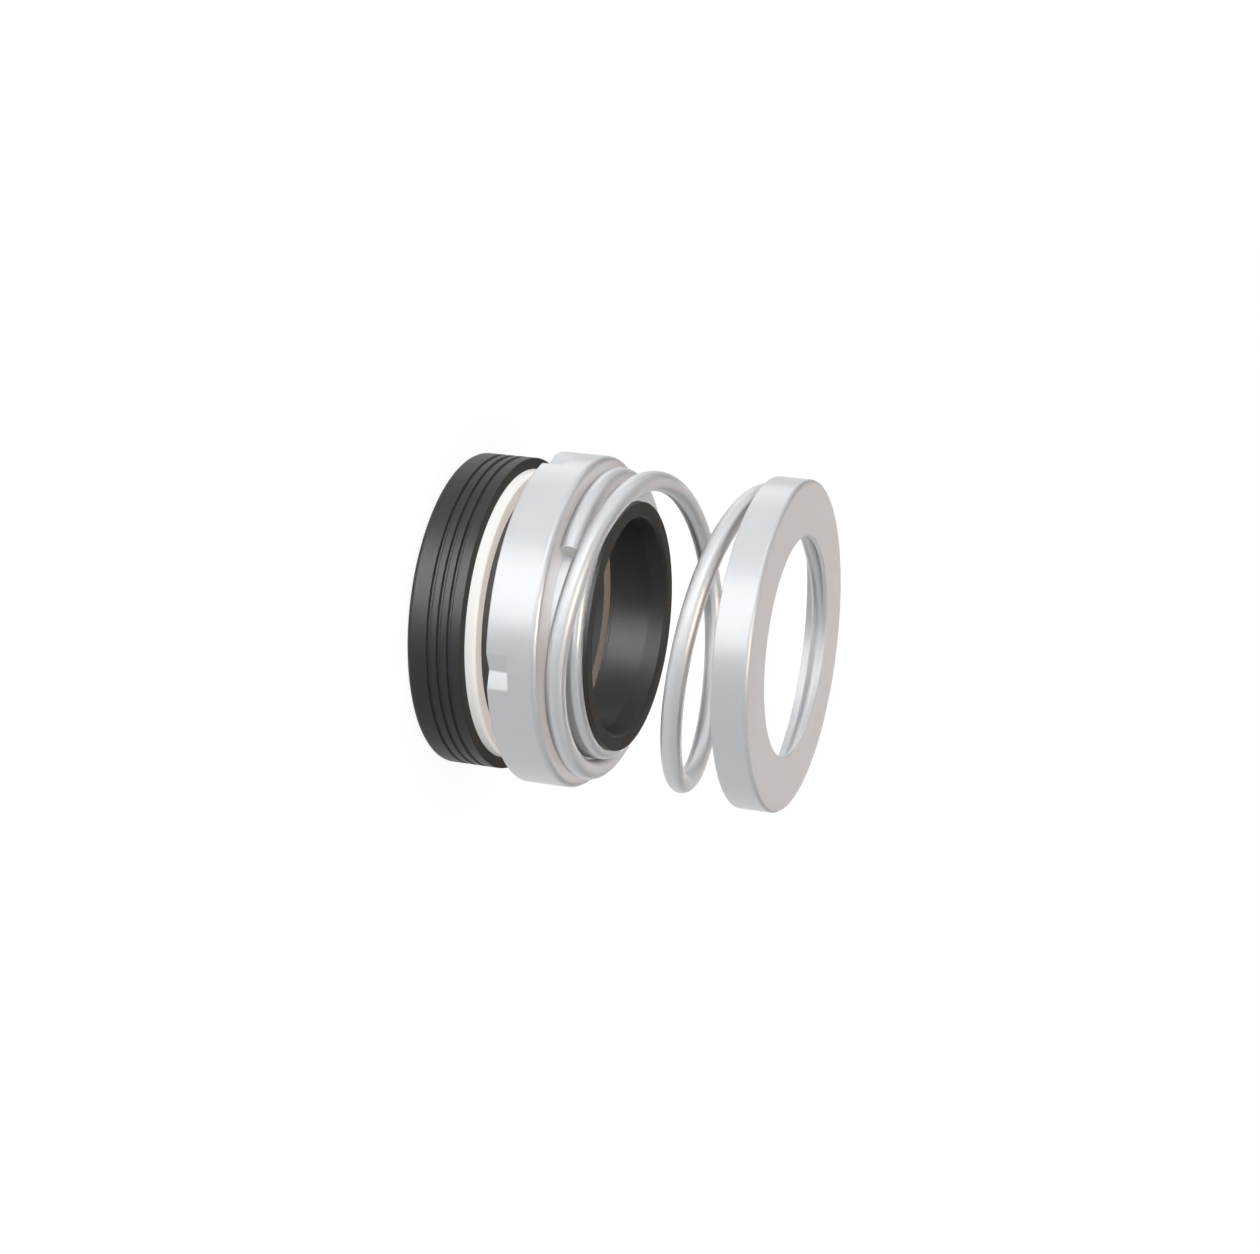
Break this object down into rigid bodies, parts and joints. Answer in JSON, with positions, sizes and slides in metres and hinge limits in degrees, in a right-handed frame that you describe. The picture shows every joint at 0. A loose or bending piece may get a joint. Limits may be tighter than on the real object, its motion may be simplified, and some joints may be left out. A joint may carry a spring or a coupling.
{
  "type": "mechanical seal",
  "caption": "Mechanical shaft seal for a pump: rubber-cupped ceramic seat, carbon ring in a crimped steel retainer, rubber bellows, coil spring and pressed spring holder.",
  "frame": {"origin": "centre of the seat cup's back face, on the shaft axis", "axes": "+Z along the shaft axis, from the seat towards the spring holder"},
  "size_m": [0.0478, 0.0478, 0.0494],
  "materials": {
    "rubber": "moulded black nitrile rubber, satin",
    "ceramic": "ground white alumina, lapped on its face",
    "carbon": "turned carbon graphite, matte",
    "pressed_steel": "drawn stainless sheet, satin",
    "spring_wire": "drawn stainless wire, semi-bright"
  },
  "bodies": {
    "seat": {"seat_cup": "rubber", "seat_ring": "ceramic"},
    "head": {"primary_ring": "carbon", "retainer": "pressed_steel", "spring": "spring_wire"},
    "tail": {"bellows": "rubber", "drive_band": "pressed_steel"},
    "holder": {"spring_holder": "pressed_steel"}
  },
  "joints": [
    {"name": "head_spin", "type": "hinge", "parent": "seat", "child": "head", "pos_m": [0, 0, 0.0096], "axis": [0, 0, 1], "continuous": true},
    {"name": "bellows_float", "type": "slide", "parent": "head", "child": "tail", "axis": [0, 0, -1], "range_m": [0, 0.0007], "stiffness_N_per_m": 2000, "deforming": ["bellows"]},
    {"name": "spring_compression", "type": "slide", "parent": "head", "child": "holder", "axis": [0, 0, -1], "range_m": [0, 0.012], "stiffness_N_per_m": 5500, "deforming": ["spring"]}
  ]
}
